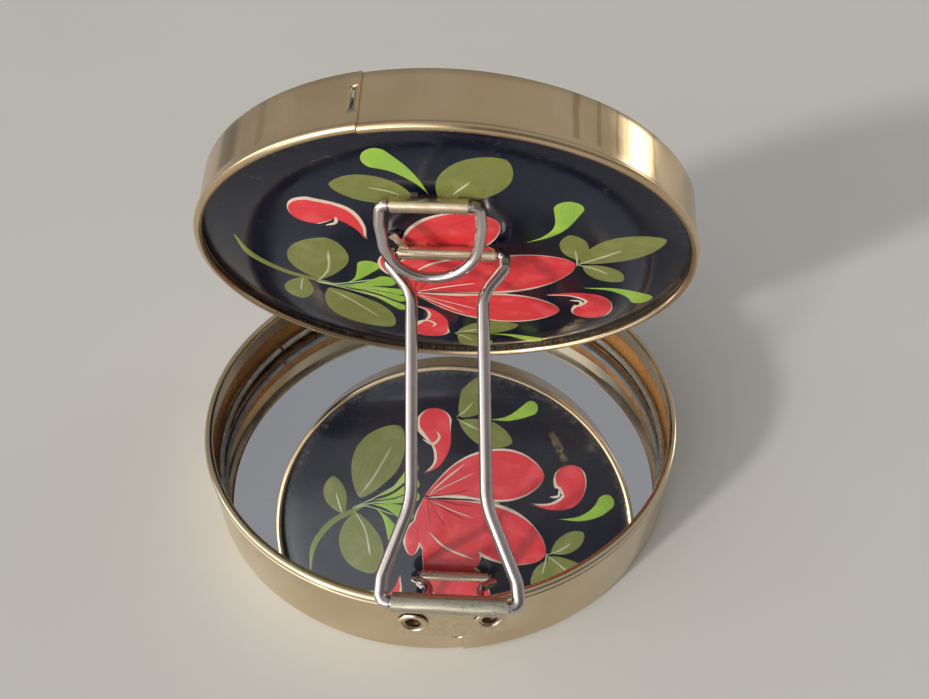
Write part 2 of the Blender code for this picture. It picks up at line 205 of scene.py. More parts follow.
class Shade(Nodes):
    """One material. The colours given to blend and ramp are sRGB, 0 to 255."""

    def __init__(self, name, **values):
        self.material = bpy.data.materials.new(name)
        self.material.use_nodes = True
        super().__init__(self.material.node_tree)
        self.shader = self.tree.nodes["Principled BSDF"]
        self.set(**values)
        scaled = self.node("ShaderNodeVectorMath", operation="SCALE")
        self.feed(scaled.inputs[0], self.node("ShaderNodeTexCoord").outputs["Object"])
        scaled.inputs["Scale"].default_value = 1.0 / MM
        self.place = scaled.outputs[0]      # object coordinates in millimetres

    def set(self, **values):
        for name, value in values.items():
            self.feed(self.shader.inputs[name.replace("_", " ")], value)

    def noise(self, scale, detail=4.0, roughness=0.55, vector=None):
        """Cloudy noise. A scale of three numbers stretches it along X, Y and Z."""
        vector = vector or self.place
        if isinstance(scale, tuple):
            vector, scale = self.stretched(vector, *scale), 1.0
        made = self.node("ShaderNodeTexNoise")
        self.feed(made.inputs["Vector"], vector)
        for name, number in (("Scale", scale), ("Detail", detail), ("Roughness", roughness)):
            made.inputs[name].default_value = number
        return made.outputs["Fac"]

    def blend(self, factor, a, b):
        return self.mix(factor, *(linear(c) if isinstance(c, tuple) else c for c in (a, b)))

    def ramp(self, value, *stops):
        """Colour along value, from (place, colour) stops."""
        made = self.node("ShaderNodeValToRGB")
        self.feed(made.inputs["Fac"], value)
        elements = made.color_ramp.elements
        while len(elements) < len(stops):
            elements.new(0.5)
        for element, (place, colour) in zip(elements, stops):
            element.position = place
            element.color = (*linear(colour), 1.0)
        return made.outputs["Color"]

    def bump(self, height, depth, strength):
        """Bump of a height field whose full swing is depth, in millimetres."""
        made = self.node("ShaderNodeBump")
        made.inputs["Strength"].default_value = strength
        made.inputs["Distance"].default_value = depth * MM
        self.feed(made.inputs["Height"], height)
        self.set(Normal=made.outputs["Normal"])
        return self


# painted reflections on the lid's wall: upright darker bands of (degrees round the wall, half width in
# degrees, share of the metal's own tone)
LID_REFLECTION_BANDS = (
    (64.0, 1.1, 0.72), (59.0, 0.7, 0.78), (54.5, 0.7, 0.80), (52.0, 0.6, 0.84), (43.5, 0.8, 0.72),
    (126.0, 1.6, 0.88), (137.5, 5.5, 0.42),
)
LID_TINT = (1.0, 0.90, 0.80)    # the lid's metal is a little deeper gold than the base's
GILT_DARK = (206, 187, 154)
GILT_BODY = (214, 197, 166)
GILT_LIGHT = (221, 206, 178)


def gilt_outside(name, reflection_bands=()):
    """Lacquered gold-tone tinplate: satin, with fine streaks, dull patches and worn, greyer spots.

    Its bands are painted reflections: upright darker bands where the wall would mirror dim parts of the room,
    each given as (degrees round the wall, half width in degrees, share of the metal's own tone).
    """
    s = Shade(name, Metallic=1.0)
    streaks = s.noise((0.25, 0.25, 9.0), 5.0, 0.7)
    upright = s.noise((1.4, 1.4, 0.08), 3.0, 0.6)
    patches = s.noise(0.09, 3.0, 0.5)
    specks = s.between(s.noise(2.4, 3.0, 0.7), 0.66, 0.74)
    colour = s.ramp(patches, (0.30, GILT_DARK), (0.52, GILT_BODY), (0.72, GILT_LIGHT))
    colour = s.blend(s.between(streaks, 0.35, 0.75, 0.0, 0.1), colour, (196, 174, 138))
    colour = s.blend(s.times(specks, 0.3), colour, (150, 122, 84))
    if reflection_bands:
        colour = s.mix(1.0, colour, LID_TINT, "MULTIPLY")
        x, y, z = s.split(s.place)
        below_bead = s.between(z, -1.7, -2.3)
        turn = s.times(s.math("ARCTAN2", y, x), 180.0 / math.pi)
        turn = s.plus(turn, s.times(s.noise((0.3, 0.3, 0.3)), 1.2))
    # painted reflection: each band darkens the wall below the bead
    for degrees, half_width, tone in reflection_bands:
        away = s.math("ABSOLUTE", s.minus(turn, degrees))
        near = s.times(s.between(away, half_width * 0.3, half_width, 1.0, 0.0), below_bead)
        wear_and_reflection = s.mix(1.0, colour, (tone, tone * 0.94, tone * 0.84), "MULTIPLY")
        colour = s.blend(near, colour, wear_and_reflection)
    rough = s.plus(s.between(patches, 0.3, 0.7, 0.13, 0.22), s.between(upright, 0.3, 0.8, 0.0, 0.05))
    s.set(Base_Color=colour, Roughness=s.plus(rough, s.times(specks, 0.2)))
    return s.bump(upright, 0.005, 0.35).material


def gilt_inside():
    """The base's inner wall: amber tarnish, with painted light and shade up the wall, a browner, darker band
    higher up as painted shade and a pale band just under the lip as painted light.
    """
    s = Shade("gilt_inside", Metallic=0.6)
    height = s.split(s.place)[2]
    wobble = s.times(s.minus(s.noise(0.16, 4.0, 0.6), 0.5), 2.6)
    level = s.plus(height, wobble)
    share = s.between(level, GLASS_TOP, BASE_HEIGHT)
    # painted light and shade by height: a darker band higher up, a pale lit band just under the lip
    colour = s.ramp(
        share, (0.0, (170, 124, 72)), (0.30, (196, 140, 78)), (0.55, (176, 112, 52)),
        (0.76, (150, 104, 62)), (0.90, (196, 172, 138)),
    )
    stain = s.noise((0.28, 0.28, 0.16), 4.0, 0.6)
    colour = s.blend(s.between(stain, 0.46, 0.70, 0.0, 0.35), colour, (124, 78, 38))
    s.set(Base_Color=colour, Roughness=s.between(stain, 0.3, 0.7, 0.22, 0.42))
    return s.bump(stain, 0.01, 0.3).material


def brass():
    """Rolled brass: pale, with faintly duller patches."""
    s = Shade("rolled_brass", Metallic=1.0)
    grain = s.noise((0.5, 6.0, 6.0), 4.0, 0.65)
    tarnish = s.noise(0.5, 4.0, 0.6)
    colour = s.ramp(
        tarnish, (0.32, (204, 182, 152)), (0.50, (212, 194, 166)), (0.70, (220, 204, 180)),
    )
    s.set(Base_Color=colour, Roughness=s.between(tarnish, 0.35, 0.65, 0.36, 0.24))
    return s.bump(grain, 0.002, 0.2).material


def hinge_metal():
    """The hinge leaf: the base's gold tone below, rubbed through to scratched grey steel on its sleeve."""
    s = Shade("hinge_metal", Metallic=1.0)
    height = s.split(s.place)[2]
    ragged = s.plus(height, s.times(s.minus(s.noise(0.8), 0.5), 2.2))
    wear_and_reflection = s.between(ragged, BAIL_AXIS.z - 3.2, BAIL_AXIS.z - 1.6)
    scratches = s.noise((0.35, 9.0, 9.0), 6.0, 0.75)
    spots = s.noise(1.3, 4.0, 0.7)
    gold = s.ramp(spots, (0.35, GILT_DARK), (0.6, (216, 200, 168)))
    steel = s.ramp(
        scratches, (0.34, (174, 166, 148)), (0.52, (188, 181, 164)), (0.70, (202, 197, 184)),
    )
    steel = s.blend(s.between(spots, 0.56, 0.66, 0.0, 0.4), steel, (118, 106, 90))
    s.set(Base_Color=s.blend(wear_and_reflection, gold, steel), Roughness=s.between(scratches, 0.35, 0.65, 0.20, 0.42))
    return s.bump(scratches, 0.002, 0.25).material


def bore_painted_shade():
    """Dark brown deep in the eyelets: painted shade in their bores."""
    s = Shade("bore_painted_shade", Metallic=0.6, Roughness=0.5)
    shade_mottle = s.noise(1.6, 4.0, 0.6)
    s.set(Base_Color=s.ramp(shade_mottle, (0.3, (54, 38, 22)), (0.7, (104, 78, 46))))
    return s.bump(shade_mottle, 0.03, 0.5).material


def wire_metal():
    """Bright nickel wire, a little hazy, with small dark pits."""
    s = Shade("nickel_wire", Metallic=1.0)
    pits = s.between(s.noise(3.2, 4.0, 0.7), 0.62, 0.72)
    haze = s.noise(0.35, 4.0, 0.6)
    colour = s.blend(haze, (184, 170, 167), (212, 203, 201))
    colour = s.blend(s.times(pits, 0.7), colour, (96, 78, 70))
    rough = s.plus(s.between(haze, 0.3, 0.7, 0.05, 0.12), s.times(pits, 0.3))
    s.set(Base_Color=colour, Roughness=rough)
    return s.bump(pits, 0.02, 0.4).material


def ring_steel():
    """Spring ring: pale blue-grey steel, faintly clouded."""
    s = Shade("ring_steel", Metallic=1.0)
    cloud = s.noise(0.55, 6.0, 0.7)
    colour = s.ramp(cloud, (0.36, (156, 166, 170)), (0.50, (182, 193, 198)), (0.64, (208, 217, 220)))
    s.set(Base_Color=colour, Roughness=s.between(cloud, 0.35, 0.7, 0.45, 0.25))
    return s.bump(cloud, 0.006, 0.3).material


def silvering(name, edge_radius):
    """Old mirror: clear in the middle, with hazy smears, dust and a spotted dark edge."""
    s = Shade(name, Metallic=0.97)
    ragged = s.plus(s.radius(s.place), s.times(s.noise(0.6, 5.0, 0.7), 2.4))
    aged = s.between(ragged, edge_radius + 0.2, edge_radius + 1.4)
    smear = s.noise((0.10, 0.26, 1.0), 4.0, 0.6)
    dust = s.between(s.noise(4.0, 2.0, 0.5), 0.72, 0.78)
    colour = s.blend(aged, (234, 238, 243), (84, 70, 54))
    colour = s.blend(s.times(dust, 0.35), colour, (196, 192, 186))
    rough = s.plus(s.between(smear, 0.45, 0.75, 0.0, 0.035), s.times(dust, 0.3))
    s.set(Base_Color=colour, Roughness=s.plus(rough, s.times(aged, 0.3)))
    return s.material


def glass_edge():
    """The ground, slightly green edge of the mirror glass."""
    s = Shade("glass_edge", Roughness=0.35)
    grain = s.noise(1.6, 4.0, 0.6)
    s.set(Base_Color=s.ramp(grain, (0.3, (58, 62, 56)), (0.7, (104, 112, 102))), Coat_Weight=0.4)
    return s.bump(grain, 0.03, 0.4).material


def card():
    """Grey-brown backing board with flecks."""
    s = Shade("backing_card", Roughness=0.9)
    flecks = s.noise(1.8, 6.0, 0.75)
    s.set(Base_Color=s.ramp(flecks, (0.35, (104, 92, 76)), (0.65, (142, 130, 112))))
    return s.bump(flecks, 0.05, 0.6).material


# where the painted gold reflection lies on the lid's face, and how it leans
REFLECTION_MIDDLE = (22.2, -22.0)
REFLECTION_LEAN = (0.45, 0.89)


def gold_reflection(s):
    """Painted reflection: a short slanting gold streak on the lid's lower right, shown as metal."""
    x, y = (s.minus(s.split(s.place)[axis], middle) for axis, middle in enumerate(REFLECTION_MIDDLE))
    lean_x, lean_y = REFLECTION_LEAN
    along = s.math("ABSOLUTE", s.plus(s.times(x, lean_x), s.times(y, lean_y)))
    across = s.math("ABSOLUTE", s.minus(s.times(x, lean_y), s.times(y, lean_x)))
    near = s.times(s.between(along, 2.0, 4.4, 1.0, 0.0), s.between(across, 0.2, 1.1, 1.0, 0.0))
    return s.times(near, s.between(s.noise(0.6, 3.0, 0.6), 0.40, 0.60))


GLOSS = 0.42                    # specular level of the lacquer and of the paint on it


def lacquer():
    """Black lacquer: deep and glossy, dusted, scuffed and rubbed near its rim, with a painted gold reflection,
    shown as metal, near its edge.
    """
    s = Shade("black_lacquer")
    radius = s.radius(s.place)
    ragged = s.plus(radius, s.times(s.minus(s.noise(0.5, 6.0, 0.75), 0.5), 7.0))
    low_side = s.between(s.split(s.place)[1], -36.0, 8.0, 1.0, 0.25)
    rubbed = s.times(s.between(ragged, 36.6, 38.6), low_side)
    rubbed = s.times(rubbed, s.between(s.noise(2.6, 5.0, 0.8), 0.46, 0.60))
    dust = s.between(s.noise(3.4, 2.0, 0.6), 0.70, 0.76)
    scuffs = s.between(s.noise((0.30, 1.1, 1.0), 6.0, 0.8), 0.60, 0.72)
    scuffs = s.times(scuffs, s.between(radius, 24.0, 36.0))
    colour = s.blend(s.noise(0.05, 3.0), (8, 11, 25), (15, 20, 39))
    colour = s.blend(s.times(dust, 0.35), colour, (132, 132, 136))
    colour = s.blend(s.times(scuffs, 0.30), colour, (140, 136, 130))
    colour = s.blend(s.times(rubbed, 0.55), colour, (138, 130, 112))
    # painted reflection: a gold streak, shown as metal
    reflected_gold = gold_reflection(s)
    colour = s.blend(s.times(reflected_gold, 0.7), colour, (190, 164, 120))
    rough = s.plus(s.times(scuffs, 0.3), s.between(s.noise(0.12, 4.0), 0.3, 0.7, 0.10, 0.2))
    s.set(Base_Color=colour, Roughness=rough, Metallic=s.times(reflected_gold, 0.9), Specular_IOR_Level=GLOSS)
    height = s.minus(s.noise(0.3, 3.0), s.times(rubbed, 0.6))
    return s.bump(height, 0.05, 0.35).material


def paint(name, body, shade, light):
    """Brushed paint. Its streaks follow the stroke, whose run and width are in the brush attribute."""
    s = Shade(name, Roughness=0.25)
    brush = s.node("ShaderNodeAttribute", attribute_name="brush").outputs["Vector"]
    streaks = s.noise((0.16, 2.2, 1.0), 4.0, 0.6, brush)
    cloud = s.noise(0.22, 3.0, 0.5)
    colour = s.blend(s.between(streaks, 0.30, 0.52, 0.45, 1.0), shade, body)
    colour = s.blend(s.between(cloud, 0.48, 0.70, 0.0, 0.8), colour, light)
    wear_and_reflection = s.between(s.noise(2.2, 6.0, 0.8), 0.68, 0.74)
    colour = s.blend(s.times(wear_and_reflection, 0.4), colour, (70, 60, 50))
    s.set(Base_Color=colour, Specular_IOR_Level=GLOSS)
    return s.bump(streaks, 0.03, 0.5).material


def floor_material():
    """Smooth pale table top."""
    s = Shade("pale_table", Roughness=0.42)
    mottle = s.noise(0.012, 3.0, 0.5)
    s.set(Base_Color=s.blend(mottle, (202, 200, 195), (208, 206, 202)), Specular_IOR_Level=0.2)
    return s.material


GILT_OUT = gilt_outside("gilt_outside")
GILT_LID = gilt_outside("gilt_lid", LID_REFLECTION_BANDS)
GILT_IN = gilt_inside()
BRASS = brass()
BORE = bore_painted_shade()
HINGE = hinge_metal()
WIRE = wire_metal()
RING_STEEL = ring_steel()
GLASS_EDGE = glass_edge()
CARD = card()
LACQUER = lacquer()
RED = paint("red_paint", (224, 58, 65), (204, 44, 52), (236, 84, 88))
DEEP_RED = paint("deep_red_paint", (158, 30, 36), (130, 22, 28), (176, 44, 50))
CREAM = paint("cream_paint", (226, 206, 184), (204, 176, 150), (236, 224, 208))
OLIVE = paint("olive_paint", (121, 127, 62), (106, 112, 51), (135, 139, 81))
GREEN = paint("green_paint", (148, 186, 69), (120, 167, 72), (170, 200, 78))
PALE = paint("pale_green_paint", (172, 182, 140), (150, 162, 116), (194, 200, 166))


# ---------------------------------------------------------------- mesh helpers
def add(name, data):
    """A new object in the scene."""
    obj = bpy.data.objects.new(name, data)
    bpy.context.scene.collection.objects.link(obj)
    return obj


def place(name, mesh, body, slot, replaced, where, *materials):
    """Adds a mesh on a CAD body, standing at the matrix where, in place of a CAD node or of none."""
    obj = add(name, mesh)
    for item in materials:
        mesh.materials.append(item)
    if where is not None:
        obj.matrix_world = where
    bpy.context.view_layer.update()
    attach(obj, body)
    if replaced:
        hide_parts(replaced)
    return obj


def mesh_of(name, bm, sharp=40.0):
    bmesh.ops.recalc_face_normals(bm, faces=bm.faces)
    mesh = bpy.data.meshes.new(name)
    bm.to_mesh(mesh)
    bm.free()
    mesh.shade_smooth()
    mesh.set_sharp_from_angle(angle=math.radians(sharp))
    return mesh


def arc(centre, radius, start, end, steps):
    angles = [math.radians(start + (end - start) * i / steps) for i in range(steps + 1)]
    return [(centre[0] + radius * math.cos(a), centre[1] + radius * math.sin(a)) for a in angles]


def even_columns(steps=FINE):
    return [(360.0 * i / steps, 0.0) for i in range(steps)]


def lapped_columns(seam):
    """Columns round a strip whose outer end stands out at the seam."""
    columns = [(seam, LAP_STEP)]
    for i in range(1, FINE):
        turn = 360.0 * i / FINE
        columns.append((seam + turn, LAP_STEP * max(0.0, 1.0 - turn / LAP_FADE)))
    columns.append((seam + 359.95, 0.0))
    return columns


def turned(name, outline, columns=None, closed=True, dents=0.0, slots=None, sharp=40.0):
    """A solid turned about Z from (radius, height, share) points, as in the CAD model.

    slots[i] is the material of the band from point i to the next. dents is the size of soft waves in the
    metal, in millimetres.
    """
    columns = columns or even_columns()
    bm = bmesh.new()
    rings = []
    for point in outline:
        radius, height = point[:2]
        share = point[2] if len(point) > 2 else 0.0
        if radius == 0.0:
            rings.append([bm.verts.new((0.0, 0.0, height * MM))] * len(columns))
            continue
        ring = []
        for degrees, offset in columns:
            a = math.radians(degrees)
            wave = noise.noise(Vector((math.cos(a) * 3.1, math.sin(a) * 3.1, height * 0.09))) * dents
            r = radius + share * offset + wave
            ring.append(bm.verts.new((r * math.cos(a) * MM, r * math.sin(a) * MM, height * MM)))
        rings.append(ring)
    following = rings[1:] if outline[0][0] == 0.0 else rings[1:] + rings[:1]
    count = len(columns)
    for band, (first, second) in enumerate(zip(rings, following)):
        for i in range(count if closed else count - 1):
            j = (i + 1) % count
            corners = list(dict.fromkeys([first[i], first[j], second[j], second[i]]))
            bm.faces.new(corners).material_index = slots[band] if slots else 0
    if not closed:
        bm.faces.new([ring[0] for ring in rings])
        bm.faces.new([ring[-1] for ring in rings])
    return mesh_of(name, bm, sharp)


def bridge(bm, rings, capped=True):
    """Skins between neighbouring loops of points, with a face over each end when capped."""
    for first, second in zip(rings, rings[1:]):
        for i in range(len(first)):
            j = (i + 1) % len(first)
            bm.faces.new([first[i], first[j], second[j], second[i]])
    if capped:
        bm.faces.new(rings[0])
        bm.faces.new(rings[-1])


def extruded(name, outline, start, end, steps, waves):
    """A prism along X with an outline of (y, z) points, softly dented by waves."""
    bm = bmesh.new()
    rings = []
    for step in range(steps + 1):
        x = start + (end - start) * step / steps
        ring = []
        for y, z in outline:
            dent = noise.noise(Vector((x * 0.5, y * 0.9, z * 0.9))) * waves
            ring.append(bm.verts.new((x * MM, (y + dent) * MM, (z + dent) * MM)))
        rings.append(ring)
    bridge(bm, rings)
    return mesh_of(name, bm)


def cut(mesh, cutter_mesh, where, operation="DIFFERENCE"):
    """The mesh after a Boolean with another, which stands at the matrix where."""
    body = add("body", mesh)
    tool = add("tool", cutter_mesh)
    tool.matrix_world = where
    modifier = body.modifiers.new("cut", "BOOLEAN")
    modifier.operation = operation
    modifier.solver = "EXACT"
    modifier.object = tool
    bpy.context.view_layer.update()
    result = bpy.data.meshes.new_from_object(body.evaluated_get(bpy.context.evaluated_depsgraph_get()))
    for obj in (body, tool):
        bpy.data.objects.remove(obj)
    return result


def box_mesh(name, size):
    bm = bmesh.new()
    bmesh.ops.create_cube(bm, size=1.0)
    bmesh.ops.scale(bm, vec=[side * MM for side in size], verts=bm.verts)
    return mesh_of(name, bm)


def swept(name, points, sides=24):
    """A round bar along points of (x, y, z, radius), with flat ends."""
    spots = [Vector(point[:3]) for point in points]
    radii = [point[3] for point in points]
    tangents = []
    for i in range(len(spots)):
        tangents.append((spots[min(i + 1, len(spots) - 1)] - spots[max(i - 1, 0)]).normalized())
    side = tangents[0].orthogonal().normalized()
    bm = bmesh.new()
    rings = []
    for spot, tangent, radius in zip(spots, tangents, radii):
        side = (side - tangent * side.dot(tangent)).normalized()
        other = tangent.cross(side)
        ring = []
        for i in range(sides):
            a = math.tau * i / sides
            ring.append(bm.verts.new((spot + (side * math.cos(a) + other * math.sin(a)) * radius) * MM))
        rings.append(ring)
    bridge(bm, rings)
    return mesh_of(name, bm, 50.0)


def rounded_route(corners, steps=10):
    """A route through corners of (x, y, bend radius), each bend an arc unless its radius is 0."""
    route = [Vector(corners[0][:2])]
    for before, corner, after in zip(corners, corners[1:], corners[2:]):
        here = Vector(corner[:2])
        if corner[2] == 0.0:
            route.append(here)
            continue
        back = (Vector(before[:2]) - here).normalized()
        ahead = (Vector(after[:2]) - here).normalized()
        half = back.angle(ahead) / 2
        reach = corner[2] / math.tan(half)
        centre = here + (back + ahead).normalized() * (corner[2] / math.sin(half))
        start = here + back * reach - centre
        turn = (here + ahead * reach - centre).angle_signed(start)
        for i in range(steps + 1):
            route.append(centre + Matrix.Rotation(turn * i / steps, 2) @ start)
    route.append(Vector(corners[-1][:2]))
    return route


def spline_point(points, t):
    """A point along a smooth curve through the given points, t from 0 to 1."""
    spans = len(points) - 1
    reach = min(t * spans, spans - 1e-6)
    i = int(reach)
    u = reach - i
    padded = [points[0] * 2 - points[1], *points, points[-1] * 2 - points[-2]]
    a, b, c, d = padded[i:i + 4]
    square = (2 * a - 5 * b + 4 * c - d) * u * u
    cube = (3 * b - a - 3 * c + d) * u ** 3
    return 0.5 * (2 * b + (c - a) * u + square + cube)


def soften(obj, width):
    """Rounds an object's sharp edges."""
    bevel = obj.modifiers.new("soften", "BEVEL")
    bevel.width = width * MM
    bevel.segments = 2
    bevel.limit_method = "ANGLE"
    bevel.angle_limit = math.radians(50)


# ---------------------------------------------------------------- base
def front(degrees):
    return degrees - 90.0


def on_rim(degrees, height, radius):
    """Local +Z points out of the wall and local +Y up it."""
    a = math.radians(front(degrees))
    out = Vector((math.cos(a), math.sin(a), 0.0))
    return frame_at(out * radius + UPRIGHT * height, UPRIGHT.cross(out), UPRIGHT, out)


def eyelet_place(side):
    azimuth = math.degrees(math.asin((BAIL_AXIS.x + side * EYELET_SPREAD) / BASE_RADIUS))
    return on_rim(azimuth, EYELET_Z, BASE_RADIUS)


def pierced(mesh):
    """The mesh with both of the eyelets' holes."""
    outline = [(0.0, 3.0), (EYELET_HOLE, 3.0), (EYELET_HOLE, -3.0), (0.0, -3.0)]
    for side in (-1, 1):
        mesh = cut(mesh, turned("hole", outline, even_columns(40)), eyelet_place(side))
    return mesh


def base_rim():
    bead_r = BASE_RADIUS - BASE_LIP
    wall_out = BASE_RADIUS - 0.1
    wall_in = wall_out - SHEET
    lip_z = BASE_HEIGHT - BASE_LIP
    bead = [(r, z, 1.0) for r, z in arc((bead_r, lip_z), BASE_LIP, -60, 235, 18)]
    inner = [(wall_in, BASE_HEIGHT - 1.8 - i * 0.9) for i in range(12)]
    floor = [(wall_in, 0.9), (wall_in - 0.5, 0.3), (wall_in - 1.9, 0.3), (wall_in - 1.9, 0.0)]
    corner = [(r, z, 1.0) for r, z in arc((wall_out - 0.8, 0.8), 0.8, -85, 0, 8)]
    outer = [(wall_out, 0.8 + (lip_z - 1.6) * i / 8, 1.0) for i in range(1, 9)]
    outline = bead + inner + floor + corner + outer
    inside_from, inside_to = len(bead) + 3, len(bead) + len(inner)      # the tarnished stretch, which also carries painted light and shade
    slots = [1 if inside_from <= i < inside_to else 0 for i in range(len(outline))]
    mesh = turned("base_rim", outline, lapped_columns(front(BASE_SEAM)), dents=0.05, slots=slots)
    mesh.materials.append(GILT_OUT)
    mesh.materials.append(GILT_IN)
    slot = box_mesh("slot", (1.5, 0.28, 3.0))
    mesh = cut(pierced(mesh), slot, on_rim(BASE_SEAM - 1.3, 3.7, BASE_RADIUS))
    place("rim_of_base", mesh, "base", "gold_tone_sheet", "base_rim", None)


def base_floor():
    for node, material in (("base_back_plate", GILT_OUT), ("base_backing_card", CARD)):
        materials = frame["nodes"][node].data.materials
        materials.clear()
        materials.append(material)
    r = BASE_INSIDE
    glass = [(0.0, SILVER_Z), (r - 0.1, SILVER_Z), (r, SILVER_Z - 0.1)]
    glass += [(r, GLASS_BOTTOM), (0.0, GLASS_BOTTOM)]
    mesh = turned("mirror", glass, slots=[0, 1, 1, 1, 1], sharp=20.0)
    silver = silvering("base_silver", BASE_INSIDE)
    place("mirror_of_base", mesh, "base", "mirror_glass", "base_mirror", None, silver, GLASS_EDGE)
    ring = retaining_ring(r, GLASS_TOP + 0.3, 1, 150.0)
    place("spring_ring_of_base", ring, "base", "worn_steel", "base_retaining_ring", None, RING_STEEL)


def retaining_ring(outer, face, up, gap_at):
    """A split ring of round spring wire; up is the way it stands from the glass."""
    section = arc((outer - SPRING_WIRE, face + up * SPRING_WIRE), SPRING_WIRE, 0, 345, 23)
    columns = [(gap_at + RING_GAP / 2 + (360.0 - RING_GAP) * i / FINE, 0.0) for i in range(FINE + 1)]
    return turned("spring_ring", section, columns, closed=False, dents=0.008)


def eyelets():
    for name, side in (("left", -1), ("right", 1)):
        inner, outer = -1.25, 1.15
        mouth = [(0.95, inner - 0.2), (0.95, outer - 0.9), (1.20, outer - 0.5), (1.45, outer - 0.05)]
        roll = [(r, z) for r, z in arc((1.86, outer - 0.10), 0.40, 150, 60, 8)]
        brim = [(2.18, outer + 0.20), (2.27, outer + 0.08), (2.24, outer)]
        back = [(1.20, outer), (1.20, inner), (1.95, inner), (2.05, inner - 0.2)]
        back += [(1.90, inner - 0.38), (1.10, inner - 0.42)]
        outline = mouth + roll + brim + back
        # the first bands, down the bore, take the painted shade
        slots = [1 if i < 4 else 0 for i in range(len(outline))]
        mesh = turned("eyelet", outline, even_columns(64), dents=0.08, slots=slots)
        place(f"rivet_{name}", mesh, "base", "brass", f"eyelet_{name}", eyelet_place(side), BRASS, BORE)


def hinge_leaf():
    """Sheet bent round the rim, its top edge rolled forward into a straight sleeve."""
    half, columns = LEAF_WIDTH / 2, 49
    thick = SLEEVE_RADIUS - SLEEVE_BORE
    middle = (SLEEVE_RADIUS + SLEEVE_BORE) / 2
    neck_low, neck_high = EYELET_Z + 2.5, BAIL_AXIS.z

    def centre_line(x):
        wall = -math.sqrt((LEAF_RADIUS + thick / 2) ** 2 - x ** 2)
        back = BAIL_AXIS.y + middle
        line = [(wall, LEAF_BOTTOM + (neck_low - LEAF_BOTTOM) * i / 6) for i in range(7)]
        for i in range(1, 10):
            share = i / 10
            ease = share * share * (3 - 2 * share)
            line.append((wall + (back - wall) * ease, neck_low + (neck_high - neck_low) * share))
        return line + arc(BAIL_AXIS.yz, middle, 0, 318, 32)

    bm = bmesh.new()
    sections = []
    for column in range(columns):
        x = BAIL_AXIS.x - half + LEAF_WIDTH * column / (columns - 1)
        line = [Vector(point) for point in centre_line(x)]
        left, right = [], []
        for i, here in enumerate(line):
            along = (line[min(i + 1, len(line) - 1)] - line[max(i - 1, 0)]).normalized()
            dent = noise.noise(Vector((x * 0.35, i * 0.13, 2.0))) * 0.05
            normal = Vector((-along.y, along.x))
            left.append(here + normal * (thick / 2 + dent))
            right.append(here - normal * (thick / 2 - dent))
        loop = left + right[::-1]
        sections.append([bm.verts.new((x * MM, p.x * MM, p.y * MM)) for p in loop])
    bridge(bm, sections, capped=False)
    count = len(sections[0]) // 2
    for section in (sections[0], sections[-1]):
        for i in range(count - 1):
            bm.faces.new([section[i], section[i + 1], section[-2 - i], section[-1 - i]])
    mesh = mesh_of("leaf", bm)
    mesh = pierced(mesh)
    leaf = place("leaf_of_hinge", mesh, "base", "worn_steel", "hinge_leaf", None, HINGE)
    soften(leaf, 0.09)


# ---------------------------------------------------------------- bail and D-ring
def hinged_frame(axis, direction):
    """Local X along the hinge, local Y along direction."""
    along = Vector((0.0, *direction)).normalized()
    return frame_at(axis, ACROSS, along, ACROSS.cross(along))


def stand_bail():
    reach = (LID_AXIS - BAIL_AXIS).yz
    length = reach.length
    lean = LID_AXIS.x - BAIL_AXIS.x
    sleeve_half, tube_half = LEAF_WIDTH / 2, BAIL_TUBE_LENGTH / 2
    sleeve_pin, tube_pin = SLEEVE_BORE - SLEEVE_PLAY, TUBE_BORE - TUBE_PLAY
    sleeve_end, tube_end = sleeve_half + 0.4, tube_half + 0.3
    half = rounded_route([
        (0.0, 0.0, 0.0),
        (sleeve_end, 0.0, 0.0),
        (sleeve_end + 0.1, 0.0, 0.0),
        (sleeve_half + 1.8, 0.0, 1.1),
        (sleeve_half + 1.5, 3.4, 4.0),
        (BAIL_HALF_GAP, 14.0, 12.0),
        (BAIL_HALF_GAP, 45.0, 5.0),
        (tube_half + 1.4, length - 2.2, 1.5),
        (tube_half + 1.4, length, 0.9),
        (tube_end, length, 0.0),
        (0.4, length, 0.0),
    ])

    def radius(x, y):
        if y < 0.1 and x < sleeve_end + 0.01:
            return sleeve_pin
        if y > length - 0.1 and x < tube_end + 0.01:
            return tube_pin
        return BAIL_WIRE

    route = [(-p.x, p.y) for p in reversed(half)] + [(p.x, p.y) for p in half[1:]]
    points = [(x + lean * y / length, y, 0.0, radius(abs(x), y)) for x, y in route]
    mesh = swept("bail", points)
    place("bail_wire", mesh, "bail", "nickel_wire", "stand_bail", hinged_frame(BAIL_AXIS, reach), WIRE)


def d_ring():
    pin_end = HANGER_TUBE_LENGTH / 2 + 0.3
    pin = TUBE_BORE - TUBE_PLAY
    shoulder = 5.8
    half = rounded_route([
        (0.4, 0.0, 0.0),
        (pin_end, 0.0, 0.0),
        (pin_end + 0.1, 0.0, 0.0),
        (HANGER_TUBE_LENGTH / 2 + 1.5, 0.0, 1.0),
        (RING_HALF_WIDTH + 0.3, 3.2, 2.0),
        (RING_HALF_WIDTH, 6.0, 2.0),
    ])[:-1]
    for x, y in arc((0.0, 0.0), 1.0, 0.0, 90.0, 24):
        half.append(Vector((RING_HALF_WIDTH * x, shoulder + (RING_LENGTH - shoulder) * y)))
    points = [(p.x, p.y, 0.0, pin if p.x < pin_end + 0.01 and p.y < 0.1 else RING_WIRE) for p in half]
    points += [(-x, y, z, radius) for x, y, z, radius in reversed(points[:-1])]
    mesh = swept("ring", points)
    where = hinged_frame(RING_AXIS, (0.0, -1.0))
    place("hanging_ring", mesh, "hanger", "nickel_wire", "d_ring", where, WIRE)


# ---------------------------------------------------------------- lid
def lid_top(degrees):
    return 90.0 - degrees


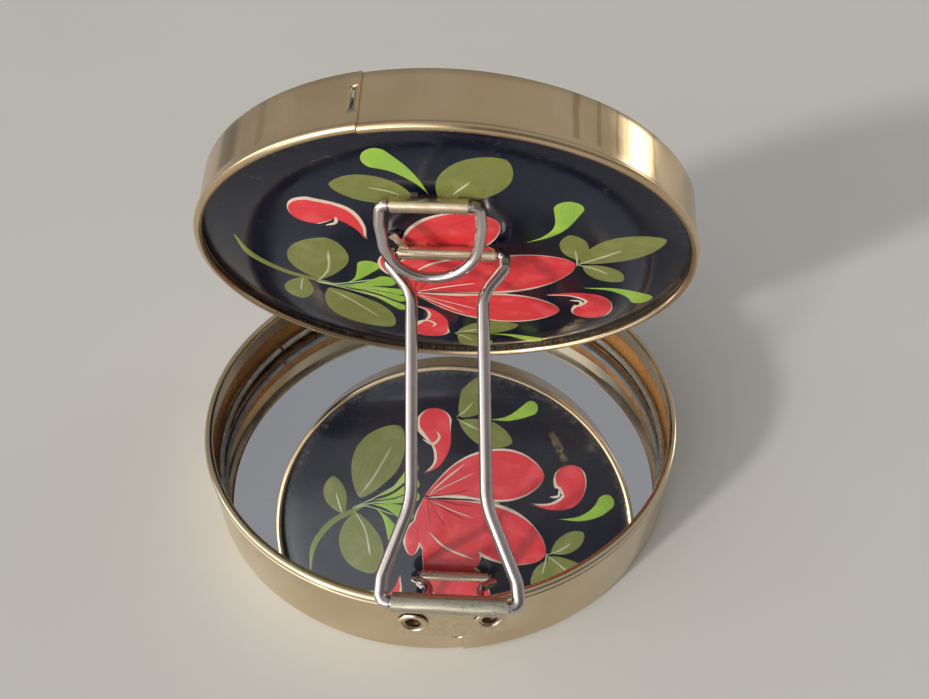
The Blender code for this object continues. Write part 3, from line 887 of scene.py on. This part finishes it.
def lid_rim():
    bead_r = LID_RADIUS - LID_BEAD
    wall_in = LID_WALL_RADIUS - SHEET
    bead = [(r, z, 1.0) for r, z in arc((bead_r, -LID_BEAD), LID_BEAD, -60, 218, 18)]
    inner = [(wall_in, -2.1 - i * 0.77) for i in range(9)]
    lip = [(wall_in - 0.2, 0.2 - LID_DEPTH), (wall_in + 0.1, -LID_DEPTH, 1.0)]
    lip += [(LID_WALL_RADIUS - 0.1, -LID_DEPTH, 1.0)]
    outer = [(LID_WALL_RADIUS, 0.3 - LID_DEPTH + (LID_DEPTH - 2.1) * i / 8, 1.0) for i in range(9)]
    mesh = turned("lid_rim", bead + inner + lip + outer, lapped_columns(lid_top(-LID_SEAM)), dents=0.06)
    a = math.radians(lid_top(-LID_SEAM - 1.4))
    middle = Vector((LID_WALL_RADIUS * math.cos(a), LID_WALL_RADIUS * math.sin(a), -5.0))
    where = Matrix.Translation(middle * MM) @ Matrix.Rotation(a, 4, "Z")
    mesh = cut(mesh, box_mesh("slot", (1.2, 0.5, 3.1)), where)
    mesh.materials.clear()
    place("rim_of_lid", mesh, "lid", "gold_tone_sheet", "lid_rim", LID_FRAME, GILT_LID)


def lid_layers():
    inside = LID_WALL_RADIUS - SHEET - 0.3
    board_thick = 0.45
    top = [(0.0, PANEL_TOP), (14.0, PANEL_TOP), (PANEL_FLAT, PANEL_TOP)]
    for t in (0.2, 0.4, 0.6, 0.8, 1.0):
        top.append((PANEL_FLAT + PANEL_RUN * t, PANEL_TOP - PANEL_FALL * t * t))
    top.append((inside, PANEL_TOP - 0.9))
    section = top + [(radius, height - board_thick) for radius, height in reversed(top)]
    mesh = turned("panel", section, sharp=60.0)
    place("panel_of_lid", mesh, "lid", "black_lacquer", "painted_panel", LID_FRAME, LACQUER)
    card_top, card_under = -2.5, -2.95
    board = turned("card", [(0.0, card_top), (inside, card_top), (inside, card_under), (0.0, card_under)])
    place("board_of_lid", board, "lid", "grey_card", "lid_backing_card", LID_FRAME, CARD)
    back, face = -3.25, -4.6
    glass = [(0.0, back), (inside, back), (inside, -4.25), (inside - 0.35, face), (0.0, face)]
    mesh = turned("mirror", glass, slots=[1, 1, 1, 0], sharp=20.0)
    silver = silvering("lid_silver", inside)
    place("mirror_of_lid", mesh, "lid", "mirror_glass", "lid_mirror", LID_FRAME, silver, GLASS_EDGE)
    ring = retaining_ring(inside, -4.9, -1, 240.0)
    place("spring_ring_of_lid", ring, "lid", "worn_steel", "lid_retaining_ring", LID_FRAME, RING_STEEL)


def rolled_tube(name, node, length, x, up, tab_inset):
    """A tube rolled from sheet, its seam towards the panel, held by two tabs."""
    ring = arc((up, TUBE_HEIGHT), TUBE_RADIUS, -78, 258, 36)
    bore = arc((up, TUBE_HEIGHT), TUBE_BORE, 256, -76, 36)
    shift = x - LID_CENTRE.x
    mesh = extruded(name, ring + bore, shift - length / 2, shift + length / 2, 30, 0.02)
    tab_top = TUBE_HEIGHT - TUBE_BORE - 0.06
    tab_reach = 1.7         # below the crest, through the panel
    for side in (-1, 1):
        centre = Vector((shift + side * (length / 2 - tab_inset), up, (tab_top - tab_reach) / 2)) * MM
        tab = box_mesh("tab", (2.4, 0.7, tab_top + tab_reach))
        mesh = cut(mesh, tab, Matrix.Translation(centre), "UNION")
    mesh.materials.clear()
    mesh.shade_smooth()
    mesh.set_sharp_from_angle(angle=math.radians(40))
    tube = place(name, mesh, "lid", "brass", node, LID_FRAME, BRASS)
    soften(tube, 0.06)


EAR_WAY = ((-5.7, 9.5, 0.85), (-6.2, 10.5, 0.62), (-6.9, 11.5, 0.25), (-7.6, 12.3, -0.05))
EAR_WIDTHS = (1.5, 1.1, 1.3, 1.6)
EAR_HALF_THICK = 0.16


def bent_ear():
    """The torn corner of the bail tube's sheet, bent up over the panel."""
    way = [Vector(point) for point in EAR_WAY]
    bm = bmesh.new()
    rings = []
    steps = 18
    for i in range(steps + 1):
        t = i / steps
        here = spline_point(way, t)
        ahead, behind = spline_point(way, min(1.0, t + 0.03)), spline_point(way, max(0.0, t - 0.03))
        along = (ahead - behind).normalized()
        side = Vector((-along.y, along.x, 0.0)).normalized()
        lift = along.cross(side).normalized() * EAR_HALF_THICK
        k = min(int(t * 3), 2)
        half = (EAR_WIDTHS[k] + (EAR_WIDTHS[k + 1] - EAR_WIDTHS[k]) * (t * 3 - k)) / 2
        half += noise.noise(Vector((t * 5.0, 1.0, 3.0))) * 0.15
        corners = [here + side * half * a + lift * b for a, b in ((1, 1), (-1, 1), (-1, -1), (1, -1))]
        rings.append([bm.verts.new(corner * MM) for corner in corners])
    bridge(bm, rings)
    ear = place("ear_of_bail_tube", mesh_of("ear", bm), "lid", "brass", None, LID_FRAME, BRASS)
    soften(ear, 0.05)


# ---------------------------------------------------------------- painting
PAINT_LIFT = 0.02           # between one coat and the next
PAINT_THICK = 0.03
STROKE_RUN = 64             # steps along a stroke
STROKE_ACROSS = 6           # and across it


def even_spine(points, count):
    """count + 1 places at even steps along the curve, and its length."""
    fine = [spline_point(points, i / 200) for i in range(201)]
    reached = [0.0]
    for a, b in zip(fine, fine[1:]):
        reached.append(reached[-1] + (b - a).length)
    places, k = [], 0
    for i in range(count + 1):
        goal = reached[-1] * i / count
        while k < 199 and reached[k + 1] < goal:
            k += 1
        share = (goal - reached[k]) / max(1e-9, reached[k + 1] - reached[k])
        places.append(fine[k].lerp(fine[k + 1], min(1.0, share)))
    return places, reached[-1]


def swell(kind, t, head):
    """How wide a brush stroke is at t, as a share of its widest. head is where a bulb's round end starts."""
    if kind == "leaf":
        return math.sin(math.pi * t ** 1.12) ** 0.62
    if kind == "petal":
        return math.sin(math.pi * t ** 1.5) ** 0.60
    if kind == "bulb":
        if t > head:
            return math.sqrt(max(0.0, 1.0 - ((t - head) / (1.0 - head)) ** 2))
        return (t / head) ** 1.35
    return min(1.0, 0.25 + 3.0 * t) * min(1.0, 5.0 * (1.0 - t) + 0.15)


class Painting:
    """Brush strokes of one paint, as thin raised skins on the panel, in one mesh."""

    def __init__(self, name, paint_material, level):
        self.name, self.material = name, paint_material
        self.height = PANEL_TOP + PAINT_LIFT * level
        self.bm = bmesh.new()
        self.brush = self.bm.verts.layers.float_vector.new("brush")
        self.strokes = 0

    def stroke(self, kind, width, *points, shift=0.0):
        """A stroke along (x, y) points, from its first, thin end. shift moves it sideways."""
        run = STROKE_RUN
        spine, length = even_spine([Vector(point) for point in points], run)
        self.strokes += 1
        shaky = random.Random(self.strokes * 7 + len(self.name))
        tilt = shaky.uniform(-0.04, 0.04)
        rings = []
        for i, here in enumerate(spine):
            t = i / run
            travelled = t * length
            along = (spine[min(run, i + 1)] - spine[max(0, i - 1)]).normalized()
            side = Vector((-along.y, along.x))
            share = swell(kind, min(0.9995, max(0.0005, t)), 1.0 - width / length)
            half = max(0.02, width * share) * (1 + tilt * math.sin(9 * t))
            top, bottom = [], []
            for j in range(STROKE_ACROSS + 1):
                v = j / STROKE_ACROSS * 2 - 1
                spot = here + side * (half * v + shift)
                crown = PAINT_THICK * (1 - v ** 4)
                for row, height in ((top, self.height + crown), (bottom, self.height - PAINT_LIFT)):
                    vert = self.bm.verts.new((spot.x * MM, spot.y * MM, (height + sag(spot.length)) * MM))
                    vert[self.brush] = (travelled, half * v, self.strokes * 3.7)
                    row.append(vert)
            rings.append(top + bottom[::-1])
        bridge(self.bm, rings)

    def finish(self):
        mesh = mesh_of(self.name, self.bm, 60.0)
        place(self.name, mesh, "lid", "black_lacquer", None, LID_FRAME, self.material)


def coat(name, material, level, *groups):
    """One paint's strokes, from groups of a kind and its (half width, points...)."""
    painting = Painting(name, material, level)
    for kind, strokes in groups:
        for width, *way in strokes:
            painting.stroke(kind, width, *way)
    painting.finish()


def sag(radius):
    """How far the panel's face falls away near its rim."""
    t = min(1.0, max(0.0, (radius - PANEL_FLAT) / PANEL_RUN))
    return -PANEL_FALL * t * t


LEAVES = (
    # half width and the way from base to tip
    (3.5, (-3.4, 21.6), (-8.8, 24.2), (-14.8, 25.4)),
    (4.5, (0.4, 21.6), (4.2, 26.4), (9.2, 32.0)),
    (4.9, (-21.8, -5.0), (-20.8, 2.4), (-17.8, 9.8)),
    (2.5, (-24.4, -4.6), (-26.2, -8.8), (-26.6, -13.4)),
    (5.0, (-20.8, -8.6), (-17.4, -17.0), (-11.8, -25.6)),
    (2.2, (20.8, 4.8), (19.8, 9.0), (18.8, 12.8)),
    (3.7, (21.2, 3.8), (26.8, 8.6), (33.2, 11.6)),
    (2.3, (21.8, 2.8), (25.2, 0.4), (28.6, -2.4)),
    (2.9, (0.8, -27.2), (6.2, -24.8), (12.2, -22.8)),
    (3.2, (1.0, -28.2), (4.0, -32.4), (5.4, -37.0)),
)

GREEN_BULBS = (
    # half width and the way from the thin tail to the round end
    (2.1, (-1.3, 23.4), (-2.8, 26.8), (-5.4, 30.2), (-9.2, 32.8)),
    (2.1, (12.6, 10.2), (15.4, 12.2), (17.4, 15.6), (18.2, 22.4)),
    (1.9, (22.8, -5.4), (27.6, -5.8), (31.4, -7.8), (34.0, -11.2)),
    (1.9, (-17.4, -6.4), (-15.0, -3.8), (-12.0, 2.2)),
    (1.9, (-18.4, -7.2), (-14.0, -6.6), (-9.0, -4.4)),
    (1.6, (7.0, -27.8), (11.6, -28.4), (17.2, -31.4)),
    (1.2, (-18.8, -7.4), (-13.4, -8.0), (-7.6, -9.8)),
    (1.2, (-18.6, -7.8), (-13.2, -9.4), (-7.8, -13.0)),
    (1.1, (-18.4, -8.4), (-13.6, -10.8), (-8.2, -17.0)),
)

VEINS = (
    (0.24, (-22.0, -5.4), (-19.6, -1.0), (-18.4, 5.8)),
    (0.24, (-20.8, -9.0), (-17.4, -14.0), (-13.6, -21.0)),
    (0.18, (-24.6, -4.6), (-25.6, -8.0), (-26.0, -9.8)),
    (0.16, (-22.6, -5.8), (-19.0, -6.6), (-12.6, -4.6)),
    (0.16, (-22.6, -6.0), (-19.0, -7.2), (-10.4, -9.0)),
    (0.16, (-22.4, -6.2), (-18.0, -8.4), (-9.4, -14.0)),
    (0.18, (20.8, 2.8), (20.6, 5.0), (20.0, 8.2)),
    (0.20, (20.6, 3.2), (24.0, 5.8), (27.0, 8.4)),
    (0.18, (21.0, 3.2), (23.6, 2.0), (26.0, 0.2)),
    (0.18, (0.2, -27.8), (2.6, -26.6), (5.0, -25.4)),
    (0.18, (0.2, -28.2), (2.0, -29.6), (3.6, -31.6)),
    (0.20, (-9.4, 24.8), (-6.8, 24.0), (-4.4, 22.4)),
    (0.18, (2.0, 23.6), (3.4, 25.4), (4.4, 26.8)),
)


STEMS = (
    (0.62, (-32.2, 9.8), (-31.2, 3.4), (-26.8, -2.6), (-19.6, -6.8)),
)


def paint_leaves():
    coat("olive_leaves", OLIVE, 1, ("leaf", LEAVES), ("line", STEMS))
    coat("green_strokes", GREEN, 2, ("bulb", GREEN_BULBS))
    coat("pale_veins", PALE, 4, ("line", VEINS))


PETALS = (
    # half width and the way from the heart of the flower to the petal's tip
    (5.7, (-6.8, 1.6), (-1.0, 9.8), (7.9, 16.8)),
    (6.2, (-6.6, -8.6), (5.6, -3.2), (20.4, 3.6)),
    (5.2, (-6.4, -9.6), (-4.6, -1.6), (5.6, 6.8)),
    (5.9, (-6.4, -9.8), (5.4, -14.6), (19.4, -15.4)),
    (1.7, (-6.8, -5.4), (-8.8, -0.8), (-9.4, 5.0)),
)

COMMAS = (
    # half width and the curl from the thin tail to the round head
    (3.5, (-12.0, 9.8), (-12.6, 13.8), (-14.8, 17.4), (-18.4, 17.8), (-21.9, 17.2)),
    (3.4, (16.8, -8.6), (21.4, -8.2), (25.2, -10.0), (25.6, -13.8), (23.0, -17.6)),
    (3.6, (-6.4, -14.8), (-3.6, -17.4), (-2.8, -21.6), (-4.2, -26.0), (-5.6, -29.8)),
)

CREAM_LINES = (
    (0.24, (-5.4, -1.0), (-1.6, 2.6), (4.6, 5.2)),
    (0.30, (-5.6, -9.3), (1.0, -9.9), (10.0, -8.6)),
    (0.16, (-5.6, -9.8), (-3.0, -12.8), (2.0, -17.4)),
    (0.12, (-5.4, -9.9), (-1.0, -12.6), (4.4, -15.6)),
    (0.12, (-5.4, -8.8), (-1.0, -6.8), (4.4, -4.8)),
    (0.26, (-17.2, 14.0), (-15.7, 14.8), (-15.3, 16.6)),
    (0.26, (20.8, -10.6), (22.6, -10.9), (22.8, -12.6)),
    (0.26, (-7.0, -22.8), (-4.8, -21.9), (-3.4, -23.4), (-4.0, -24.8)),
)

FLOWER_HEART = (-6.0, -9.6)
HAIRLINE_TIPS = (
    (-1.6, -2.2), (2.6, -4.2), (4.2, -7.6), (3.6, -11.6), (1.0, -14.2), (-2.0, -14.8), (-5.2, -3.0),
)


def paint_flower():
    outline = Painting("cream_outlines", CREAM, 1)
    petals = Painting("red_petals", RED, 2)
    for width, *way in PETALS:
        outline.stroke("petal", width + 0.35, *way)
        petals.stroke("petal", width - 0.15, *way)
    for width, *way in COMMAS:
        outline.stroke("bulb", width + 0.25, *way, shift=-0.3)
        petals.stroke("bulb", width - 0.2, *way)
    outline.finish()
    petals.finish()

    hairs = []
    for x, y in HAIRLINE_TIPS:
        middle = ((x + FLOWER_HEART[0]) / 2, (y + FLOWER_HEART[1]) / 2 + 0.4)
        hairs.append((0.11, FLOWER_HEART, middle, (x, y)))
    coat("deep_red_hairlines", DEEP_RED, 4, ("line", hairs))
    coat("cream_lines", CREAM, 5, ("line", CREAM_LINES))


# ---------------------------------------------------------------- stage
def floor():
    bm = bmesh.new()
    bmesh.ops.create_grid(bm, x_segments=2, y_segments=2, size=1.6)
    bmesh.ops.translate(bm, vec=(0.0, 0.0, FLOOR_Z * MM), verts=bm.verts)
    mesh = mesh_of("floor", bm)
    mesh.materials.append(floor_material())
    add("floor", mesh)


SUN_FROM = Vector((-2.10, -2.12, 1.0)).normalized()
LEFT_WINDOW_FROM = Vector((-0.97, -0.15, 0.15)).normalized()
RIGHT_WINDOW_FROM = Vector((0.83, 0.52, 0.195)).normalized()
BACK_FROM = Vector((-0.10, 0.85, 0.50)).normalized()
DIM_FROM = Vector((0.55, -0.80, 0.20)).normalized()
FILL_PLACE = Vector((-0.16, -0.40, 0.09))
FILL_TARGET = Vector((0.0, 0.0, 0.04))
HORIZON = (0.36, 0.36, 0.355)
SKY = (
    # direction, cosines at which the light there starts and is full, and its colour
    (UPRIGHT, -0.1, 1.0, (0.46, 0.46, 0.46)),
    (DIM_FROM, 0.45, 0.95, (0.16, 0.16, 0.16)),
    (BACK_FROM, 0.50, 0.95, (0.29, 0.29, 0.295)),
    (SUN_FROM, 0.62, 0.90, (1.25, 1.23, 1.18)),
    (SUN_FROM, 0.88, 0.985, (2.2, 2.16, 2.05)),
    (LEFT_WINDOW_FROM, 0.93, 0.985, (2.6, 2.6, 2.6)),
    (RIGHT_WINDOW_FROM, 0.987, 0.998, (4.5, 4.4, 4.0)),
)


def lighting():
    """A low soft key from the front left, in a pale room with brighter and dimmer sides."""
    world = bpy.data.worlds.new("studio")
    world.use_nodes = True
    sky = Nodes(world.node_tree)
    ray = sky.node("ShaderNodeTexCoord").outputs["Generated"]
    colour = HORIZON
    for direction, low, high, tint in SKY:
        near = sky.node("ShaderNodeVectorMath", operation="DOT_PRODUCT")
        sky.feed(near.inputs[0], ray)
        near.inputs[1].default_value = direction
        colour = sky.mix(sky.between(near.outputs["Value"], low, high), colour, tint)
    sky.feed(sky.tree.nodes["Background"].inputs["Color"], colour)
    bpy.context.scene.world = world

    data = bpy.data.lights.new("key", "SUN")
    data.energy = 2.2
    data.angle = math.radians(5.0)
    data.color = (1.0, 0.97, 0.92)
    key = add("key", data)
    key.rotation_euler = SUN_FROM.to_track_quat("Z", "Y").to_euler()

    data = bpy.data.lights.new("fill", "AREA")
    data.shape = "RECTANGLE"
    data.size, data.size_y = 0.30, 0.16
    data.energy = 0.3
    fill = add("fill", data)
    fill.location = FILL_PLACE
    fill.rotation_euler = (FILL_PLACE - FILL_TARGET).to_track_quat("Z", "Y").to_euler()


CAMERA_PLACE = (10.8, -106.55, 121.85)
CAMERA_HEADING = -3.518     # degrees from +Y, towards +X
CAMERA_DOWN = 42.222        # degrees below the horizon
CAMERA_ROLL = -0.386
CAMERA_LENS = 32.58
CAMERA_SENSOR = 36.0


def camera():
    heading, down, roll = (math.radians(v) for v in (CAMERA_HEADING, CAMERA_DOWN, CAMERA_ROLL))
    level = Vector((math.sin(heading), math.cos(heading), 0.0))
    forward = level * math.cos(down) - UPRIGHT * math.sin(down)
    right = Vector((math.cos(heading), -math.sin(heading), 0.0))
    up = right.cross(forward)
    right, up = right * math.cos(roll) + up * math.sin(roll), up * math.cos(roll) - right * math.sin(roll)
    data = bpy.data.cameras.new("camera")
    data.lens = CAMERA_LENS
    data.sensor_width = CAMERA_SENSOR
    data.clip_start = 0.005
    obj = add("camera", data)
    obj.matrix_world = frame_at(CAMERA_PLACE, right, up, -forward)
    bpy.context.scene.camera = obj


def build():
    base_rim()
    base_floor()
    eyelets()
    hinge_leaf()
    stand_bail()
    d_ring()
    lid_rim()
    lid_layers()
    rolled_tube("tube_of_bail", "bail_tube", BAIL_TUBE_LENGTH, LID_AXIS.x, BAIL_TUBE_UP, 3.0)
    ring_up = BAIL_TUBE_UP + (RING_AXIS - LID_AXIS).length
    rolled_tube("tube_of_hanger", "hanger_tube", HANGER_TUBE_LENGTH, RING_AXIS.x, ring_up, 2.6)
    bent_ear()
    paint_leaves()
    paint_flower()
    floor()
    lighting()
    camera()
    bpy.context.scene.view_settings.view_transform = "Standard"


build()
